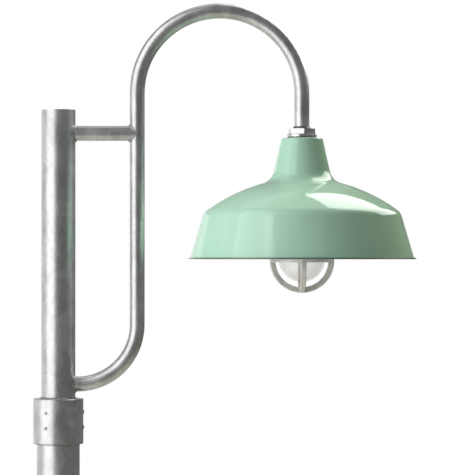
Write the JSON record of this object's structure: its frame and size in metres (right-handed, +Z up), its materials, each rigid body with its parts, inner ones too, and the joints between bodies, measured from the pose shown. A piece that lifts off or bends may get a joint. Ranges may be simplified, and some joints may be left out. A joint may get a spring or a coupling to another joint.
{
  "type": "street lamp post",
  "caption": "Galvanised steel lamp post with a gooseneck arm, an enamelled bell shade, and a guarded glass globe over a screw-base lamp.",
  "frame": {"origin": "on the ground at the pole's axis, in the plane of the base plate's underside", "axes": "+Z up along the pole, +X from the pole towards the shade"},
  "size_m": [0.7636, 0.4064, 3.1481],
  "materials": {
    "galvanised_pipe": "satin hot-dip galvanised",
    "weld": "galvanised weld bead",
    "zinc_hardware": "bright zinc plate",
    "enamel": "gloss jade-green porcelain enamel, white inside",
    "cast_aluminium": "sand cast, matt",
    "frosted_glass": "frosted jelly-jar glass",
    "lamp_glass": "opal glass",
    "porcelain": "glazed",
    "brass": "plain",
    "green_screw": "green ground screws",
    "gasket_rubber": "matt",
    "black_wire": "insulation",
    "white_wire": "insulation",
    "green_wire": "insulation",
    "connector_plastic": "moulded"
  },
  "bodies": {
    "pole": {"base_plate": "galvanised_pipe", "base_weld": "weld", "pole_tube": "galvanised_pipe", "ground_lug": "weld", "pole_ground_screw": "green_screw", "hand_hole_gasket": "gasket_rubber"},
    "hand_hole_cover": {"hand_hole_cover": "galvanised_pipe", "hand_hole_screws": "zinc_hardware"},
    "head": {"collar_sleeve": "galvanised_pipe", "collar_ring": "galvanised_pipe", "collar_weld": "weld", "set_screws": "zinc_hardware", "post_tube": "galvanised_pipe", "post_cap": "galvanised_pipe", "arm_pipe": "galvanised_pipe", "brace_pipe": "galvanised_pipe", "foot_weld": "weld", "brace_post_weld": "weld", "brace_arm_weld": "weld", "wire_grommet": "gasket_rubber", "hex_nut": "zinc_hardware", "hub_flange": "zinc_hardware", "neck_gasket": "gasket_rubber", "shade": "enamel", "globe_holder": "cast_aluminium", "globe_gasket": "gasket_rubber", "lampholder_body": "porcelain", "screw_shell": "brass", "centre_contact": "brass", "lampholder_strap": "zinc_hardware", "strap_screws": "zinc_hardware", "porcelain_screws": "zinc_hardware", "terminal_screws": "brass", "strap_ground_screw": "green_screw", "wire_line": "black_wire", "wire_neutral": "white_wire", "wire_ground": "green_wire", "wire_connectors": "connector_plastic"},
    "guard": {"guard": "cast_aluminium", "guard_screws": "zinc_hardware"},
    "globe": {"globe": "frosted_glass"},
    "lamp": {"lamp_bulb": "lamp_glass", "lamp_base": "brass", "lamp_tip": "brass"}
  },
  "joints": [
    {"name": "head_turn", "type": "hinge", "parent": "pole", "child": "head", "pos_m": [0, 0, 2.44505], "axis": [0, 0, 1], "range_deg": [-180, 180]},
    {"name": "cover_off", "type": "slide", "parent": "pole", "child": "hand_hole_cover", "axis": [-1, 0, 0], "range_m": [0, 0.08]},
    {"name": "guard_down", "type": "slide", "parent": "head", "child": "guard", "axis": [0, 0, -1], "range_m": [0, 0.16]},
    {"name": "globe_down", "type": "slide", "parent": "head", "child": "globe", "axis": [0, 0, -1], "range_m": [0, 0.1]},
    {"name": "lamp_out", "type": "slide", "parent": "head", "child": "lamp", "axis": [0, 0, -1], "range_m": [0, 0.03]}
  ],
  "couplings": [
    {"joint": "globe_down", "follows": "guard_down", "ratio": 0.6}
  ]
}
